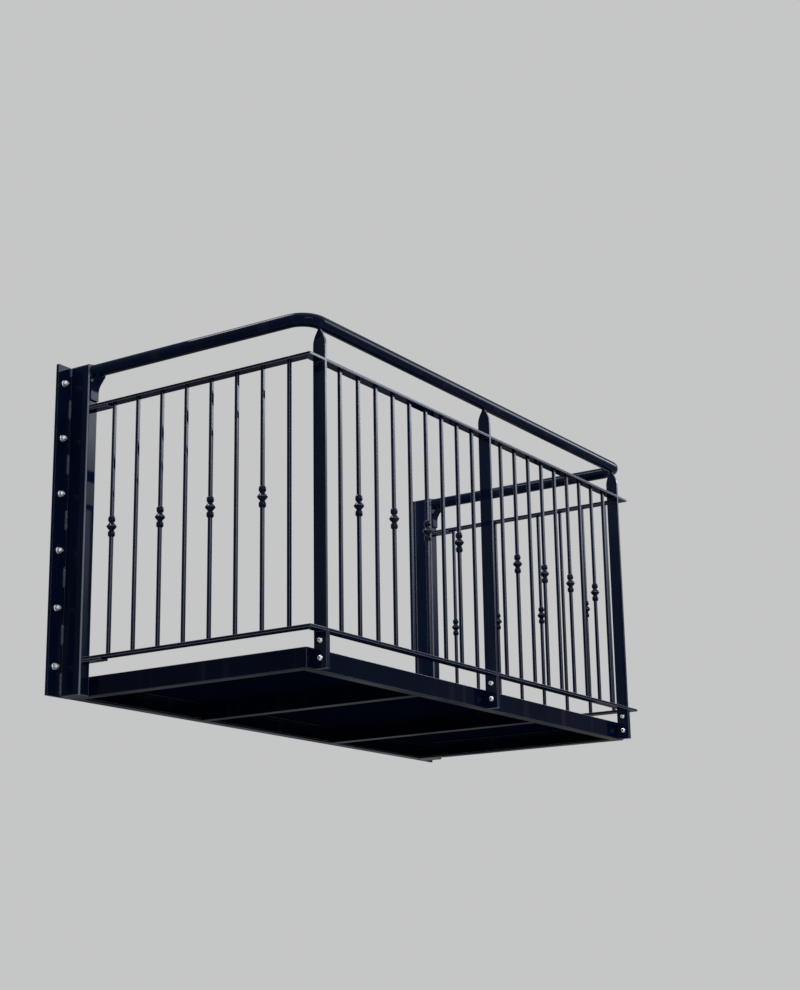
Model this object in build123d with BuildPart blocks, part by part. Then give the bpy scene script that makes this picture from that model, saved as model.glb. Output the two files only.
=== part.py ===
from build123d import *
from math import atan, degrees
import os

os.makedirs("parts", exist_ok=True)

# Wall balcony of painted steel. X runs along the wall, +Y points into the wall, +Z is up.
# The origin is the centre of the rear beam's back face, which lies on the wall.
# All lengths are in millimetres.

# Overall layout
column_span = 2376.0          # over the outer faces of the two wall columns
frame_depth = 1042.0          # wall to the outer face of the front beam
handrail_height = 1146.0      # deck surface to the top of the handrail

# Perimeter channels and joists
beam_height = 70.0
beam_flange = 40.0
beam_web = 6.0
beam_flange_thickness = 8.0
beam_root_radius = 4.0
joist_offset = 425.0          # centre of the platform to the centre of each joist
deck_thickness = 6.0

# Wall columns, their caps and the plates behind them
column_width = 50.0
column_depth = 90.0
column_wall = 4.0
column_corner = 6.0
cap_thickness = 4.0
wall_plate_thickness = 12.0
wall_plate_outboard = 64.0    # plate width that shows outside the column
anchor_hole_diameter = 14.0
anchor_from_column = 35.0
anchor_first_height = 104.0   # lower end of the plate to the lowest hole
anchor_last_drop = 69.5       # upper end of the plate to the highest hole
anchor_rows = 6

# Handrail tube and its bent stays
handrail_diameter = 48.3
handrail_wall = 3.2
handrail_bend = 75.0          # centreline radius of each corner bend
stay_width = 40.0
stay_thickness = 8.0
stay_reach = 39.0             # column face to the plumb cut at the upper end
stay_drop = 88.0              # underside of the handrail to the foot
stay_leg = 30.0               # straight foot against the column
stay_bend = 60.0              # centreline radius
stay_lean = 40.0              # degrees turned away from upright

# Flat rails and the tabs that carry them at the columns
rail_width = 40.0
rail_thickness = 10.0
upper_rail_below_handrail = 157.0   # top of the upper rail to the top of the handrail
lower_rail_above_deck = 63.0        # deck surface to the top of the lower rail
tab_length = 88.0
tab_thickness = 8.0
edge_chamfer = 1.0

# Front posts and the lugs that hold their feet
post_width = 50.0
post_thickness = 10.0
end_post_inset = 45.5         # outer face of a side beam to the centre of the end post
post_shoulder_drop = 58.0     # underside of the handrail to the start of the pointed top
post_neck_drop = 2.0          # underside of the handrail to the top of the point
post_neck_width = 11.0
post_neck_lean = 0.5          # sideways run per unit of height where the point meets its neck
lug_thickness = 10.0
post_bolt_hole = 11.0
post_bolt_pitch = 58.0

# Balusters
baluster_size = 12.0
front_baluster_count = 9      # evenly spaced between two posts
side_baluster_count = 8
side_baluster_first = 208.6   # wall to the first baluster's centre
side_baluster_last = 76.15    # last baluster's centre to the centreline of the posts

# Collar at the middle of every second baluster
collar_sides = 8
collar_half_height = 38.0
collar_centre_radius = 18.4
collar_centre_half = 14.5     # middle of the collar to its narrowest place
collar_centre_rim = 1.2
collar_bead_radius = 13.0
collar_bead_half = 11.5
collar_bead_rim = 3.5
collar_neck_radius = 9.6

# Values that follow from the sizes above
beam_bottom = -beam_height / 2
deck_top = beam_height / 2
handrail_top = deck_top + handrail_height
handrail_radius = handrail_diameter / 2
handrail_axis_z = handrail_top - handrail_radius
handrail_underside = handrail_top - handrail_diameter
column_height = handrail_top - beam_bottom
column_front = -(wall_plate_thickness + column_depth)
anchor_run = column_height - anchor_first_height - anchor_last_drop
anchor_pitch = anchor_run / (anchor_rows - 1)
column_x = (column_span - column_width) / 2
frame_half_width = column_span / 2 - column_width
post_pitch = frame_half_width - end_post_inset
post_axis_y = -(frame_depth + post_width / 2)
rail_outer_y = -(frame_depth + post_width)
rail_inner_y = rail_outer_y + rail_width
rail_outer_x = column_x + rail_width / 2
rail_inner_x = column_x - rail_width / 2
upper_rail_top = handrail_top - upper_rail_below_handrail
lower_rail_top = deck_top + lower_rail_above_deck
lower_rail_underside = lower_rail_top - rail_thickness
upper_rail_underside = upper_rail_top - rail_thickness
baluster_length = upper_rail_underside - lower_rail_top
baluster_line_y = (rail_outer_y + rail_inner_y) / 2
baluster_middle_z = lower_rail_top + baluster_length / 2
front_baluster_pitch = post_pitch / (front_baluster_count + 1)
side_baluster_run = -post_axis_y - side_baluster_first - side_baluster_last
side_baluster_pitch = side_baluster_run / (side_baluster_count - 1)
post_half = post_thickness / 2


def save(piece, name):
    piece.label = name
    export_step(piece, f"parts/{name}.step")


# Wall plates: flat bars against the wall with one vertical row of anchor holes
def make_wall_plate(name, side):
    plate_width = wall_plate_outboard + column_width
    plate_centre = side * (column_span / 2 - column_width + plate_width / 2)
    hole_x = side * (column_span / 2 + anchor_from_column)
    rows = [beam_bottom + anchor_first_height + anchor_pitch * row for row in range(anchor_rows)]
    with BuildPart() as plate:
        with BuildSketch(Plane.XZ):
            with Locations((plate_centre, beam_bottom + column_height / 2)):
                Rectangle(plate_width, column_height)
            with Locations(*[(hole_x, z) for z in rows]):
                Circle(anchor_hole_diameter / 2, mode=Mode.SUBTRACT)
        extrude(amount=wall_plate_thickness)
    save(plate.part, name)


# Columns: rectangular hollow sections with rounded corners, closed by a cap at each end
def make_column(name, side):
    centre = (side * column_x, column_front + column_depth / 2)
    with BuildPart() as column:
        with BuildSketch(Plane.XY.offset(beam_bottom + cap_thickness)):
            with Locations(centre):
                RectangleRounded(column_width, column_depth, column_corner)
                RectangleRounded(
                    column_width - 2 * column_wall,
                    column_depth - 2 * column_wall,
                    column_corner - column_wall,
                    mode=Mode.SUBTRACT,
                )
        extrude(amount=column_height - 2 * cap_thickness)
    save(column.part, name)


def make_column_caps(name, side):
    centre = (side * column_x, column_front + column_depth / 2)
    with BuildPart() as caps:
        for level in (beam_bottom, handrail_top - cap_thickness):
            with BuildSketch(Plane.XY.offset(level)):
                with Locations(centre):
                    RectangleRounded(column_width, column_depth, column_corner)
            extrude(amount=cap_thickness)
    save(caps.part, name)


# Perimeter beams: channels with their toes inward, mitred at the corners.
# Each starts as a solid trapezoid in plan, and its hollow is then cut along it.
def channel_hollow(plane, web_sign, outer, length):
    hollow_depth = beam_flange - beam_web
    hollow_height = beam_height - 2 * beam_flange_thickness
    middle = outer + web_sign * (beam_web + hollow_depth / 2)
    with BuildSketch(plane) as hollow:
        with Locations((middle, 0)):
            Rectangle(hollow_depth, hollow_height)
        roots = hollow.vertices().sort_by(Axis.X, reverse=web_sign < 0)[:2]
        fillet(roots, beam_root_radius)
    extrude(hollow.sketch, amount=length, both=True, mode=Mode.SUBTRACT)


def make_cross_beam(name, outer_y, inward):
    outer = frame_half_width
    inner = frame_half_width - beam_flange
    inner_y = outer_y + inward * beam_flange
    with BuildPart() as beam:
        with BuildSketch(Plane.XY.offset(beam_bottom)):
            with BuildLine():
                Polyline((-outer, outer_y), (outer, outer_y), (inner, inner_y), (-inner, inner_y), close=True)
            make_face()
        extrude(amount=beam_height)
        channel_hollow(Plane.YZ, inward, outer_y, frame_half_width)
    save(beam.part, name)


def make_side_beam(name, side):
    outer = side * frame_half_width
    inner = side * (frame_half_width - beam_flange)
    with BuildPart() as beam:
        with BuildSketch(Plane.XY.offset(beam_bottom)):
            with BuildLine():
                Polyline(
                    (outer, 0),
                    (outer, -frame_depth),
                    (inner, -frame_depth + beam_flange),
                    (inner, -beam_flange),
                    close=True,
                )
            make_face()
        extrude(amount=beam_height)
        channel_hollow(Plane.XZ, -side, outer, frame_depth)
    save(beam.part, name)


# Joists: channels under the deck plate, coped around the flanges of the front and rear beams
def make_joist(name, side):
    joist_height = beam_height - deck_thickness
    joist_middle = beam_bottom + joist_height / 2
    cope = beam_flange - beam_web
    cope_depth = beam_flange_thickness + beam_root_radius
    hollow_x = side * (joist_offset - beam_web / 2)
    with BuildPart() as joist:
        with BuildSketch(Plane.XZ.offset(beam_web)):
            with Locations((side * joist_offset, joist_middle)):
                Rectangle(beam_flange, joist_height)
            with Locations((hollow_x, joist_middle)):
                Rectangle(cope, joist_height - 2 * beam_flange_thickness, mode=Mode.SUBTRACT)
        extrude(amount=frame_depth - 2 * beam_web)
        with BuildSketch(Plane.XY.offset(beam_bottom)):
            with Locations(*[(side * joist_offset, y) for y in (-beam_web, -frame_depth + beam_web)]):
                Rectangle(beam_flange, 2 * cope)
        extrude(amount=cope_depth, mode=Mode.SUBTRACT)
        with BuildSketch(Plane.XY.offset(deck_top - cope_depth)):
            with Locations(*[(side * joist_offset, y) for y in (-beam_web, -frame_depth + beam_web)]):
                Rectangle(beam_flange, 2 * cope)
        extrude(amount=cope_depth, mode=Mode.SUBTRACT)
    save(joist.part, name)


# Deck plate: fills the space inside the perimeter channels, flush with their top flanges
def make_deck_plate(name):
    with BuildPart() as deck:
        with BuildSketch(Plane.XY.offset(deck_top - deck_thickness)):
            with Locations((0, -frame_depth / 2)):
                Rectangle(2 * (frame_half_width - beam_flange), frame_depth - 2 * beam_flange)
        extrude(amount=deck_thickness)
    save(deck.part, name)


# Handrail: one round tube with a swept bend at each front corner
def make_handrail(name):
    z = handrail_axis_z
    corners = [
        (-column_x, column_front, z),
        (-column_x, post_axis_y, z),
        (column_x, post_axis_y, z),
        (column_x, column_front, z),
    ]
    with BuildPart() as handrail:
        with BuildLine() as route:
            FilletPolyline(*corners, radius=handrail_bend)
        with BuildSketch(Plane(origin=route.line @ 0, z_dir=route.line % 0)):
            Circle(handrail_radius)
            Circle(handrail_radius - handrail_wall, mode=Mode.SUBTRACT)
        sweep()
    save(handrail.part, name)


# Stays: flat bars bent away from the face of each column, cut to the round of the handrail
def make_stay(name, side):
    bottom = handrail_underside - stay_drop
    centre_y = column_front - stay_thickness / 2
    with BuildPart() as stay:
        with BuildSketch(Plane.YZ.offset(side * column_x)):
            with BuildLine():
                leg = Line((centre_y, bottom), (centre_y, bottom + stay_leg))
                bend = JernArc(leg @ 1, leg % 1, stay_bend, stay_lean)
                Line(bend @ 1, bend @ 1 + (bend % 1) * stay_drop)
            trace(line_width=stay_thickness)
            with Locations((column_front, bottom)):
                Rectangle(
                    stay_reach,
                    handrail_axis_z - bottom,
                    align=(Align.MAX, Align.MIN),
                    mode=Mode.INTERSECT,
                )
        extrude(amount=stay_width / 2, both=True)
        with BuildSketch(Plane.XZ.offset(-column_front)):
            with Locations((side * column_x, handrail_axis_z)):
                Circle(handrail_radius)
        extrude(amount=stay_reach, mode=Mode.SUBTRACT)
    save(stay.part, name)


# Posts: flat bars on edge to the front, with a pointed top whose neck meets the handrail
def make_post(name, x):
    shoulder = handrail_underside - post_shoulder_drop
    tip = handrail_underside - post_neck_drop
    outer = post_axis_y - post_width / 2
    inner = post_axis_y + post_width / 2
    neck_outer = post_axis_y - post_neck_width / 2
    neck_inner = post_axis_y + post_neck_width / 2
    bolts = [(post_axis_y, 0), (post_axis_y, post_bolt_pitch)]
    with BuildPart() as post:
        with BuildSketch(Plane.YZ.offset(x)):
            with BuildLine():
                Polyline((outer, shoulder), (outer, beam_bottom), (inner, beam_bottom), (inner, shoulder))
                Spline((outer, shoulder), (neck_outer, tip), tangents=[(0, 1), (post_neck_lean, 1)])
                Spline((inner, shoulder), (neck_inner, tip), tangents=[(0, 1), (-post_neck_lean, 1)])
                Line((neck_outer, tip), (neck_outer, handrail_axis_z))
                Line((neck_inner, tip), (neck_inner, handrail_axis_z))
                Line((neck_outer, handrail_axis_z), (neck_inner, handrail_axis_z))
            make_face()
            with Locations(*bolts):
                Circle(post_bolt_hole / 2, mode=Mode.SUBTRACT)
        extrude(amount=post_half, both=True)
        with BuildSketch(Plane.YZ.offset(x)):
            with Locations((post_axis_y, handrail_axis_z)):
                Circle(handrail_radius)
        extrude(amount=post_thickness, both=True, mode=Mode.SUBTRACT)
    save(post.part, name)


# Lugs: flat plates standing out from the front beam, one beside each post's foot
def make_lug(name, x):
    lug_height = lower_rail_underside - beam_bottom
    bolts = [(post_axis_y, 0), (post_axis_y, post_bolt_pitch)]
    with BuildPart() as lug:
        with BuildSketch(Plane.YZ.offset(x + post_half)):
            with Locations((post_axis_y, beam_bottom + lug_height / 2)):
                Rectangle(post_width, lug_height)
            with Locations(*bolts):
                Circle(post_bolt_hole / 2, mode=Mode.SUBTRACT)
        extrude(amount=lug_thickness)
    save(lug.part, name)


# Collar: a double cone between two beads, eight-sided, its flats in line with the bar's.
# Each length of it is a prism that narrows upwards, and the mirror about the middle adds the rest.
def collar_length(foot, foot_radius, top, top_radius):
    length = top - foot
    narrowing = degrees(atan((foot_radius - top_radius) / length))
    with BuildSketch(Plane.XY.offset(foot)) as octagon:
        RegularPolygon(foot_radius, collar_sides, major_radius=False, rotation=180 / collar_sides)
    extrude(octagon.sketch, amount=length, taper=narrowing)


with BuildPart() as collar:
    bead_middle = collar_half_height - collar_bead_half
    bead_top = bead_middle + collar_bead_rim
    bead_bottom = bead_middle - collar_bead_rim
    collar_length(0, collar_centre_radius, collar_centre_rim, collar_centre_radius)
    collar_length(collar_centre_rim, collar_centre_radius, collar_centre_half, collar_neck_radius)
    collar_length(-bead_bottom, collar_bead_radius, -collar_centre_half, collar_neck_radius)
    collar_length(bead_bottom, collar_bead_radius, bead_top, collar_bead_radius)
    collar_length(bead_top, collar_bead_radius, collar_half_height, baluster_size / 2)
    mirror(about=Plane.XY)


def flat_rails(outline):
    for top in (lower_rail_top, upper_rail_top):
        with BuildSketch(Plane.XY.offset(top - rail_thickness)) as plan:
            with BuildLine():
                Polyline(*outline, close=True)
            make_face()
        extrude(plan.sketch, amount=rail_thickness)


def square_bars(points, collared):
    with BuildSketch(Plane.XY.offset(lower_rail_top)) as plan:
        with Locations(*points):
            Rectangle(baluster_size, baluster_size)
    extrude(plan.sketch, amount=baluster_length)
    with Locations(*[(x, y, baluster_middle_z) for x, y in collared]):
        add(collar.part)


# Side panels: two flat rails mitred at the front corner, with square balusters between them
def make_side_panel(name, side):
    outer = side * rail_outer_x
    inner = side * rail_inner_x
    outline = [(outer, column_front), (inner, column_front), (inner, rail_inner_y), (outer, rail_outer_y)]
    places = range(side_baluster_count)
    points = [(side * column_x, -side_baluster_first - side_baluster_pitch * place) for place in places]
    with BuildPart() as panel:
        flat_rails(outline)
        chamfer(panel.edges().filter_by(Axis.Y), edge_chamfer)
        square_bars(points, points[0::2])
    save(panel.part, name)


# Front panels: two flat rails between two posts, with square balusters between them
def make_front_panel(name, side):
    start = side * post_half
    end = side * (post_pitch - post_half)
    outline = [(start, rail_outer_y), (end, rail_outer_y), (end, rail_inner_y), (start, rail_inner_y)]
    places = range(1, front_baluster_count + 1)
    points = [(side * front_baluster_pitch * place, baluster_line_y) for place in places]
    with BuildPart() as panel:
        flat_rails(outline)
        chamfer(panel.edges().filter_by(Axis.X), edge_chamfer)
        square_bars(points, points[1::2])
    save(panel.part, name)


# Rail returns: the short lengths of flat rail between each end post and the mitred corner
def make_rail_returns(name, side):
    start = side * (post_pitch + post_half)
    outer = side * rail_outer_x
    inner = side * rail_inner_x
    outline = [(start, rail_outer_y), (outer, rail_outer_y), (inner, rail_inner_y), (start, rail_inner_y)]
    with BuildPart() as returns:
        flat_rails(outline)
        chamfer(returns.edges().filter_by(Axis.X), edge_chamfer)
    save(returns.part, name)


# Rail tabs: flats welded to each column under the ends of the two rails
def make_rail_tabs(name, side):
    with BuildPart() as tabs:
        for underside in (lower_rail_underside, upper_rail_underside):
            with BuildSketch(Plane.XY.offset(underside - tab_thickness)):
                with Locations((side * column_x, column_front - tab_length / 2)):
                    Rectangle(rail_width, tab_length)
            extrude(amount=tab_thickness)
    save(tabs.part, name)


for hand, side in (("left", -1), ("right", 1)):
    make_wall_plate(f"{hand}_wall_plate", side)
    make_column(f"{hand}_column", side)
    make_column_caps(f"{hand}_column_caps", side)
    make_side_beam(f"{hand}_beam", side)
    make_joist(f"{hand}_joist", side)
    make_stay(f"{hand}_stay", side)
    make_side_panel(f"{hand}_side_panel", side)
    make_front_panel(f"{hand}_front_panel", side)
    make_rail_returns(f"{hand}_rail_returns", side)
    make_rail_tabs(f"{hand}_rail_tabs", side)

make_cross_beam("rear_beam", 0, -1)
make_cross_beam("front_beam", -frame_depth, 1)
make_deck_plate("deck_plate")
make_handrail("handrail")

for hand, x in (("left", -post_pitch), ("middle", 0), ("right", post_pitch)):
    make_post(f"{hand}_post", x)
    make_lug(f"{hand}_lug", x)
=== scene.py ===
# Dresses the frame of a step-out steel balcony: finishes, bolts, welds and a studio, all in metres

import math

import bmesh
import bpy
from bpy.props import FloatProperty, FloatVectorProperty, IntProperty, PointerProperty
from mathutils import Matrix, Vector


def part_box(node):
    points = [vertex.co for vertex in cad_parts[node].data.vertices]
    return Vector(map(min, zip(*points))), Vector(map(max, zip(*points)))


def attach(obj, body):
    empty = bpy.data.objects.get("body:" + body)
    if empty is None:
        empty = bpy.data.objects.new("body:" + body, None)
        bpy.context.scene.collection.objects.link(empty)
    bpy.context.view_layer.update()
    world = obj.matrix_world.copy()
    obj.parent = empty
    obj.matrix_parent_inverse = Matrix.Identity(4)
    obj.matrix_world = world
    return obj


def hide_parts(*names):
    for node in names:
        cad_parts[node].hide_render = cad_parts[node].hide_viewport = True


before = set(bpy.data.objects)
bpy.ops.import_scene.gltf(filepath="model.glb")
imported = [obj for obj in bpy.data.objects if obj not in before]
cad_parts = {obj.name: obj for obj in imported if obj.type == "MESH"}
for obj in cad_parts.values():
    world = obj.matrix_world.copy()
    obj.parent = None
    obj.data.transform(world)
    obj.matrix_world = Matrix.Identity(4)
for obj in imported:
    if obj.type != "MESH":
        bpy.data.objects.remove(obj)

bl_info = {
    "name": "Step-out Balcony",
    "version": (1, 0, 0),
    "blender": (4, 5, 0),
    "location": "3D View > Sidebar > Balcony",
    "description": "Dresses a cantilevered steel balcony in gloss black, with its bolts, welds and studio",
    "category": "Object",
}

BODY = "root"
SLOT = "black_steel"
SIDES = (("left", -1), ("right", 1))
UP = Vector((0, 0, 1))

# Steps of a rounded arris, the least angle that counts as one, and the steps round small turned shapes
ARRIS_STEPS = 2
ARRIS_ANGLE = math.radians(42)
COLLAR_POINTS = 24
THREAD_POINTS = 28
WASHER_POINTS = 40
HEX_POINTS = 48


# Sizes and finishes that a user may change

class BalconySizes(bpy.types.PropertyGroup):
    """Sizes of the pieces that are made again over the frame"""

    plate_arris: FloatProperty(
        name="Plate arris", description="Rounding left on the arrises of plates and flat bars",
        default=0.0011, unit="LENGTH")
    beam_arris: FloatProperty(
        name="Beam arris", description="Rounding on the outer corners of the rolled channels",
        default=0.0018, unit="LENGTH")
    bar_width: FloatProperty(
        name="Bar width", description="Width of a square baluster", default=0.012, unit="LENGTH")
    bar_arris: FloatProperty(
        name="Bar arris", description="Rounded corner of a square baluster", default=0.0013, unit="LENGTH")
    front_bar_count: IntProperty(
        name="Front balusters", description="Balusters in each front bay", default=9)
    side_bar_count: IntProperty(
        name="Side balusters", description="Balusters on each side", default=8)
    side_first_bar: FloatProperty(
        name="First side baluster", description="Wall to the first side baluster",
        default=0.2086, unit="LENGTH")
    side_bar_pitch: FloatProperty(
        name="Side pitch", description="Centres of the side balusters", default=0.11175, unit="LENGTH")
    knuckle_half_height: FloatProperty(
        name="Collar half height", description="Middle of a collar to its end",
        default=0.038, unit="LENGTH")
    knuckle_bead_radius: FloatProperty(
        name="Collar bead radius", description="Radius of a collar's two beads",
        default=0.0130, unit="LENGTH")
    knuckle_waist_radius: FloatProperty(
        name="Collar ridge radius", description="Radius of the ridge at a collar's middle",
        default=0.0184, unit="LENGTH")
    rail_thickness: FloatProperty(
        name="Rail thickness", description="Thickness of the flat rails", default=0.010, unit="LENGTH")
    handrail_diameter: FloatProperty(
        name="Handrail diameter", description="Outside diameter of the handrail tube",
        default=0.0483, unit="LENGTH")
    handrail_bend: FloatProperty(
        name="Handrail bend", description="Centre line radius of the handrail's bends",
        default=0.075, unit="LENGTH")
    anchor_count: IntProperty(
        name="Wall anchors", description="Anchors in each wall plate", default=6)
    anchor_first: FloatProperty(
        name="First anchor", description="Height of the lowest anchor", default=0.069, unit="LENGTH")
    anchor_pitch: FloatProperty(
        name="Anchor pitch", description="Centres of the wall anchors", default=0.2085, unit="LENGTH")
    anchor_reach: FloatProperty(
        name="Anchor line", description="Middle of the balcony to a row of anchors",
        default=1.223, unit="LENGTH")
    post_bolt_line: FloatProperty(
        name="Post bolt line", description="Wall to the bolts through a post", default=1.067, unit="LENGTH")
    post_bolt_pitch: FloatProperty(
        name="Post bolt pitch", description="Centres of the two bolts through a post",
        default=0.058, unit="LENGTH")
    stitch_length: FloatProperty(
        name="Stitch length", description="Length of a stitch weld beside a column",
        default=0.075, unit="LENGTH")
    first_stitch: FloatProperty(
        name="First stitch", description="Height of the middle of the stitch weld above the lowest anchor",
        default=0.186, unit="LENGTH")
    weld_radius: FloatProperty(
        name="Weld size", description="Radius of a stitch weld's bead", default=0.0075, unit="LENGTH")
    fine_weld_radius: FloatProperty(
        name="Fine weld size", description="Radius of the beads on rails and bars",
        default=0.0022, unit="LENGTH")


class BalconyFinish(bpy.types.PropertyGroup):
    """Colours and gloss of the finishes"""

    paint: FloatVectorProperty(
        name="Paint", description="Gloss black coat over the steel", subtype="COLOR", size=3,
        default=(0.0013, 0.0044, 0.0160), min=0, max=1)
    # Painted highlight: a pale tone laid on the arrises and welds in place of the light that they catch
    edge: FloatVectorProperty(
        name="Edge", description="Tone of the paint where it draws thin over an arris",
        subtype="COLOR", size=3,
        default=(0.14, 0.15, 0.19), min=0, max=1)
    dust: FloatVectorProperty(
        name="Dust", description="Dust that lies on what faces up", subtype="COLOR", size=3,
        default=(0.11, 0.105, 0.095), min=0, max=1)
    zinc: FloatVectorProperty(
        name="Zinc", description="Bright zinc plating of the bolts", subtype="COLOR", size=3,
        default=(0.90, 0.93, 0.97), min=0, max=1)
    gloss: FloatProperty(
        name="Gloss", description="Weight of the clear gloss over the paint", default=0.67, min=0, max=1,
        subtype="FACTOR")


class BalconyStudio(bpy.types.PropertyGroup):
    """Floor, backdrop and lamps"""

    floor_drop: FloatProperty(
        name="Floor", description="Underside of the balcony to the studio floor",
        default=2.565, unit="LENGTH")
    backdrop: FloatProperty(
        name="Backdrop", description="Brightness of the backdrop, where 1 is white", default=0.57)
    ambient: FloatProperty(
        name="Ambient", description="Even light from all round", default=0.45)
    overhead: FloatProperty(
        name="Overhead lamp", description="Radiance of the large lamp above", default=0.8)
    key: FloatProperty(
        name="Key lamp", description="Highest radiance of the tall lamp to the front right", default=20.0)
    strip: FloatProperty(
        name="Strip lamp", description="Radiance of the small lamp over the left side", default=18.0)
    fill: FloatProperty(
        name="Fill lamp", description="Radiance of the lamp behind the camera", default=5.5)


# Helpers shared by the trees and materials

def fill(tree, item, sockets):
    """Set the named sockets of a node, or join them where the value is a socket too."""
    for key, value in sockets.items():
        if isinstance(value, bpy.types.NodeSocket):
            tree.links.new(value, item.inputs[key])
        else:
            item.inputs[key].default_value = value


def add(tree, kind, sockets=None, **settings):
    """Add a node to a tree, set its properties and fill its sockets."""
    item = tree.nodes.new(kind)
    for key, value in settings.items():
        setattr(item, key, value)
    fill(tree, item, sockets or {})
    return item


def math_node(tree, operation, first, second=0):
    """The result of one operation on one or two values."""
    return add(tree, "ShaderNodeMath", {0: first, 1: second}, operation=operation).outputs[0]


def new_tree(name, inputs):
    """A geometry tree with a named input for each size; returns it with its input sockets."""
    tree = bpy.data.node_groups.new(name, "GeometryNodeTree")
    tree.interface.new_socket("Geometry", in_out="INPUT", socket_type="NodeSocketGeometry")
    for label, kind in inputs.items():
        tree.interface.new_socket(label, in_out="INPUT", socket_type="NodeSocket" + kind)
    tree.interface.new_socket("Geometry", in_out="OUTPUT", socket_type="NodeSocketGeometry")
    return tree, tree.nodes.new("NodeGroupInput").outputs


def close_tree(tree, geometry, material, crease=50, also=None):
    """Make instances real, shade smooth but for creases sharper than some degrees, and set the material.
    A selection and a second material may be given for part of it."""
    real = add(tree, "GeometryNodeRealizeInstances", {"Geometry": geometry})
    smooth = add(tree, "GeometryNodeSetShadeSmooth", {"Geometry": real.outputs[0], "Shade Smooth": True})
    angle = add(tree, "GeometryNodeInputMeshEdgeAngle")
    sharp = add(tree, "FunctionNodeCompare", {0: angle.outputs[0], 1: math.radians(crease)})
    creased = add(tree, "GeometryNodeSetShadeSmooth", {
        "Geometry": smooth.outputs[0], "Selection": sharp.outputs[0], "Shade Smooth": False}, domain="EDGE")
    coated = add(tree, "GeometryNodeSetMaterial", {"Geometry": creased.outputs[0], "Material": material})
    if also:
        coated = add(tree, "GeometryNodeSetMaterial", {
            "Geometry": coated.outputs[0], "Selection": also[0], "Material": also[1]})
    add(tree, "NodeGroupOutput", {"Geometry": coated.outputs[0]})


def link(name, data):
    """Link a new object to the scene."""
    piece = bpy.data.objects.new(name, data)
    bpy.context.scene.collection.objects.link(piece)
    return piece


def centre_of(node):
    """Middle of a node's box."""
    low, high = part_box(node)
    return (low + high) / 2


def plain(host, name):
    """The host's mesh after its modifiers, as a new plain piece in place of the host."""
    depsgraph = bpy.context.evaluated_depsgraph_get()
    mesh = bpy.data.meshes.new_from_object(host.evaluated_get(depsgraph), depsgraph=depsgraph)
    mesh.name = name
    bpy.data.objects.remove(host)
    return link(name, mesh)


def grow(host, tree, values):
    """Hang a geometry tree on a host and set its inputs by their identifiers."""
    modifier = host.modifiers.new("shape", "NODES")
    modifier.node_group = tree
    inputs = {item.name: item.identifier for item in tree.interface.items_tree if item.in_out == "INPUT"}
    for label, value in values.items():
        modifier[inputs[label]] = value


def even_normals(host):
    """Let the large flat faces set the shading of the rounded arrises beside them."""
    weighted = host.modifiers.new("normals", "WEIGHTED_NORMAL")
    weighted.keep_sharp = True
    weighted.weight = 100


def ease(host, width):
    """Round the arrises of a host."""
    bevel = host.modifiers.new("arris", "BEVEL")
    bevel.width = width
    bevel.segments = ARRIS_STEPS
    bevel.limit_method = "ANGLE"
    bevel.angle_limit = ARRIS_ANGLE
    bevel.miter_outer = "MITER_ARC"


def mesh_from(name, bm):
    """Turn a bmesh into a mesh."""
    mesh = bpy.data.meshes.new(name)
    bm.to_mesh(mesh)
    bm.free()
    return mesh


def hand_over(piece, *nodes, slot=SLOT):
    """Ride a finished piece on the balcony and hide the nodes that it stands for; its slot is not used."""
    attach(piece, BODY)
    if nodes:
        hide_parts(*nodes)


def skin(name, rings):
    """A closed mesh over a stack of rings that have the same number of points."""
    bm = bmesh.new()
    loops = [[bm.verts.new(point) for point in points] for points in rings]
    count = len(loops[0])
    for low, high in zip(loops, loops[1:]):
        for i in range(count):
            k = (i + 1) % count
            bm.faces.new((low[i], low[k], high[k], high[i]))
    bm.faces.new(reversed(loops[0]))
    bm.faces.new(loops[-1])
    bmesh.ops.recalc_face_normals(bm, faces=bm.faces)
    return mesh_from(name, bm)


def ring(radius, height, sides):
    """A ring of points round Z; its radius and height are numbers or functions of the angle."""
    points = []
    for i in range(sides):
        angle = math.tau * i / sides
        reach = radius(angle) if callable(radius) else radius
        rise = height(angle) if callable(height) else height
        points.append((reach * math.cos(angle), reach * math.sin(angle), rise))
    return points


def turned(name, profile, sides):
    """A turned shape from its (radius, height) profile."""
    return skin(name, [ring(radius, height, sides) for radius, height in profile])


def prism(name, outline, low, high):
    """An upright prism on a plan outline."""
    return skin(name, [[(x, y, z) for x, y in outline] for z in (low, high)])


# Materials

def new_material(name):
    """A material with only its shader and output."""
    material = bpy.data.materials.new(name)
    material.use_nodes = True
    tree = material.node_tree
    return material, tree, tree.nodes["Principled BSDF"]


def remap(tree, value, low, high, to_low, to_high):
    """Map a value from one range to another, and keep it inside."""
    return add(tree, "ShaderNodeMapRange", {
        "Value": value, "From Min": low, "From Max": high, "To Min": to_low, "To Max": to_high}).outputs[0]


def noise(tree, place, scale, detail=3, stretch=(1, 1, 1)):
    """Noise in object space, drawn out along an axis by the stretch."""
    mapped = add(tree, "ShaderNodeMapping", {"Vector": place, "Scale": stretch})
    return add(tree, "ShaderNodeTexNoise", {
        "Vector": mapped.outputs[0], "Scale": scale, "Detail": detail}).outputs[0]


def times(tree, first, second):
    """Multiply two values."""
    return math_node(tree, "MULTIPLY", first, second)


def blend(tree, share, first, second, clamp=True):
    """Mix two colours by a share of the second."""
    return add(tree, "ShaderNodeMix", {0: share, 6: first, 7: second},
               data_type="RGBA", clamp_factor=clamp).outputs[2]


def bump(tree, height, strength, distance, over=None):
    """Relief from a height, laid over another relief where one is given."""
    sockets = {"Height": height, "Strength": strength, "Distance": distance}
    if over is not None:
        sockets["Normal"] = over
    return add(tree, "ShaderNodeBump", sockets).outputs[0]


def opaque(colour, strength=1):
    """A colour with its alpha, at some strength."""
    return (*(strength * value for value in colour), 1)


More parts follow.
